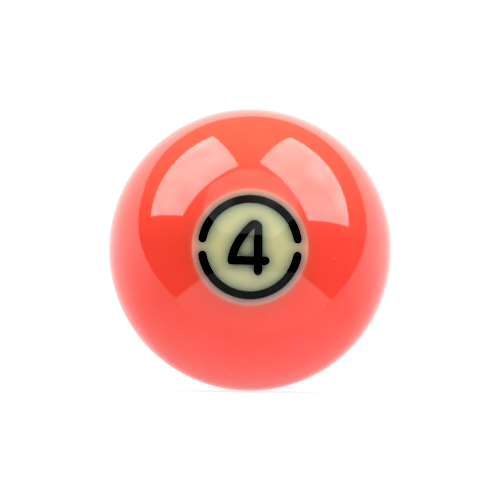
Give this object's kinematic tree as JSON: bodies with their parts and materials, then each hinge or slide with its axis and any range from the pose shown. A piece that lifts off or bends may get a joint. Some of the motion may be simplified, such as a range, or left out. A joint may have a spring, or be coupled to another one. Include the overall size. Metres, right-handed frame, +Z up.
{
  "type": "numbered pool ball",
  "caption": "Glossy cast-resin pool ball. A flush round disc at each end of one axis carries a numeral inside a broken ring.",
  "frame": {"origin": "centre of the ball", "axes": "+Y along the number axis, from the front number to the rear one; the front number faces -Y; +Z up as both numbers read; +X to the right as the front number reads"},
  "size_m": [0.0572, 0.0572, 0.0572],
  "materials": {
    "coral_resin": "polished",
    "cream_resin": "polished",
    "black_resin": "polished"
  },
  "bodies": {
    "root": {"coloured_body": "coral_resin", "front_number_disc": "cream_resin", "front_numeral_four": "black_resin", "front_upper_ring_arc": "black_resin", "front_lower_ring_arc": "black_resin", "rear_number_disc": "cream_resin", "rear_numeral_four": "black_resin", "rear_upper_ring_arc": "black_resin", "rear_lower_ring_arc": "black_resin"}
  },
  "joints": []
}
